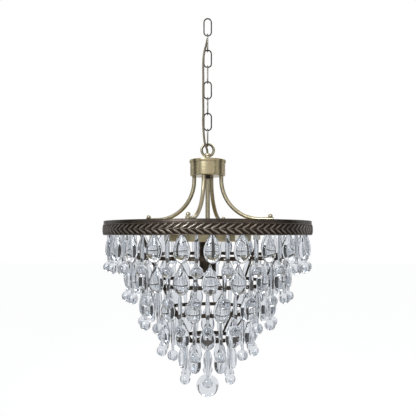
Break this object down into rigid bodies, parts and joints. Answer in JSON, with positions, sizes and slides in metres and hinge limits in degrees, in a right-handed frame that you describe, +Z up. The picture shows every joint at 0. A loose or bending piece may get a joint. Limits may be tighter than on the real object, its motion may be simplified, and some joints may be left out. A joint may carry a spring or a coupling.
{
  "type": "pendant chandelier",
  "caption": "Tiered glass-drop pendant light on a chain, with a brass cap, bent arms, an embossed rim, hoops of hanging drops and a large foot pendant.",
  "frame": {"origin": "the point inside the top chain link where a hook bears", "axes": "+Z up along the chain, +X to the right and -Y towards the viewer"},
  "size_m": [0.4568, 0.4568, 0.8357],
  "materials": {
    "aged_brass": "brushed, lacquered, darkened in the recesses",
    "dark_bronze": "dark oil-rubbed bronze, satin",
    "crystal": "clear polished glass",
    "cord_jacket": "soft brown jacket, slight gloss",
    "lead_jacket": "plain insulated lead",
    "zinc_steel": "zinc plated",
    "hook_wire": "bright drawn wire",
    "black_ring": "black, satin",
    "connector_plastic": "moulded",
    "holder_plastic": "moulded, cream",
    "shell_brass": "bright pressed brass"
  },
  "bodies": {
    "link_1": {"chain_link_1": "aged_brass"},
    "link_2": {"chain_link_2": "aged_brass"},
    "link_3": {"chain_link_3": "aged_brass"},
    "link_4": {"chain_link_4": "aged_brass"},
    "link_5": {"chain_link_5": "aged_brass"},
    "link_6": {"chain_link_6": "aged_brass"},
    "link_7": {"chain_link_7": "aged_brass"},
    "link_8": {"chain_link_8": "aged_brass"},
    "fixture": {"suspension_loop": "aged_brass", "cap_lid": "aged_brass", "cap_shell": "aged_brass", "arm_right": "aged_brass", "arm_back": "aged_brass", "arm_left": "aged_brass", "arm_front": "aged_brass", "acorn_nuts": "aged_brass", "hub_pan": "aged_brass", "pan_cover": "aged_brass", "lamp_arms": "aged_brass", "center_stem": "aged_brass", "rim_band": "dark_bronze", "rim_spokes": "dark_bronze", "hoop_1": "dark_bronze", "hoop_2": "dark_bronze", "hoop_3": "dark_bronze", "hoop_4": "dark_bronze", "hoop_5": "dark_bronze", "straps": "dark_bronze", "centre_column": "dark_bronze", "centre_rod": "dark_bronze", "foot_spider": "dark_bronze", "foot_eye": "dark_bronze", "almond_drops_1": "crystal", "almond_drops_2": "crystal", "almond_drops_3": "crystal", "almond_drops_4": "crystal", "almond_drops_5": "crystal", "ball_drops_1": "crystal", "ball_drops_2": "crystal", "ball_drops_3": "crystal", "ball_drops_4": "crystal", "ball_drops_5": "crystal", "supply_cord": "cord_jacket", "lamp_leads": "lead_jacket", "coupling_nut": "zinc_steel", "arm_nuts": "zinc_steel", "arm_screws": "zinc_steel", "stem_nut": "zinc_steel", "drop_hooks": "hook_wire", "stem_lock_ring": "black_ring", "wire_connectors": "connector_plastic", "lampholder_1": "holder_plastic", "lampholder_2": "holder_plastic", "lampholder_3": "holder_plastic", "lampholder_4": "holder_plastic", "lamp_shells": "shell_brass"},
    "foot_hook": {"foot_hook": "hook_wire"},
    "foot_pendant": {"foot_pendant": "crystal"}
  },
  "joints": [
    {"name": "link_1_to_2", "type": "hinge", "parent": "link_1", "child": "link_2", "pos_m": [0, 0, -0.0366], "axis": [1, 0, 0], "range_deg": [-15, 15], "deforming": ["supply_cord"]},
    {"name": "link_2_to_3", "type": "hinge", "parent": "link_2", "child": "link_3", "pos_m": [0, 0, -0.0714], "axis": [0, 1, 0], "range_deg": [-15, 15], "deforming": ["supply_cord"]},
    {"name": "link_3_to_4", "type": "hinge", "parent": "link_3", "child": "link_4", "pos_m": [0, 0, -0.1062], "axis": [1, 0, 0], "range_deg": [-15, 15], "deforming": ["supply_cord"]},
    {"name": "link_4_to_5", "type": "hinge", "parent": "link_4", "child": "link_5", "pos_m": [0, 0, -0.141], "axis": [0, 1, 0], "range_deg": [-15, 15], "deforming": ["supply_cord"]},
    {"name": "link_5_to_6", "type": "hinge", "parent": "link_5", "child": "link_6", "pos_m": [0, 0, -0.1758], "axis": [1, 0, 0], "range_deg": [-15, 15], "deforming": ["supply_cord"]},
    {"name": "link_6_to_7", "type": "hinge", "parent": "link_6", "child": "link_7", "pos_m": [0, 0, -0.2106], "axis": [0, 1, 0], "range_deg": [-15, 15], "deforming": ["supply_cord"]},
    {"name": "link_7_to_8", "type": "hinge", "parent": "link_7", "child": "link_8", "pos_m": [0, 0, -0.2454], "axis": [1, 0, 0], "range_deg": [-15, 15], "deforming": ["supply_cord"]},
    {"name": "link_8_to_fixture", "type": "hinge", "parent": "link_8", "child": "fixture", "pos_m": [0, 0, -0.2802], "axis": [0, 1, 0], "range_deg": [-15, 15], "deforming": ["supply_cord"]},
    {"name": "foot_hook_swing", "type": "hinge", "parent": "fixture", "child": "foot_hook", "pos_m": [0, 0, -0.7175], "axis": [1, 0, 0], "range_deg": [-7, 7]},
    {"name": "pendant_swing", "type": "hinge", "parent": "foot_hook", "child": "foot_pendant", "pos_m": [0, 0, -0.7276], "axis": [0, 1, 0], "range_deg": [-7, 7]}
  ]
}
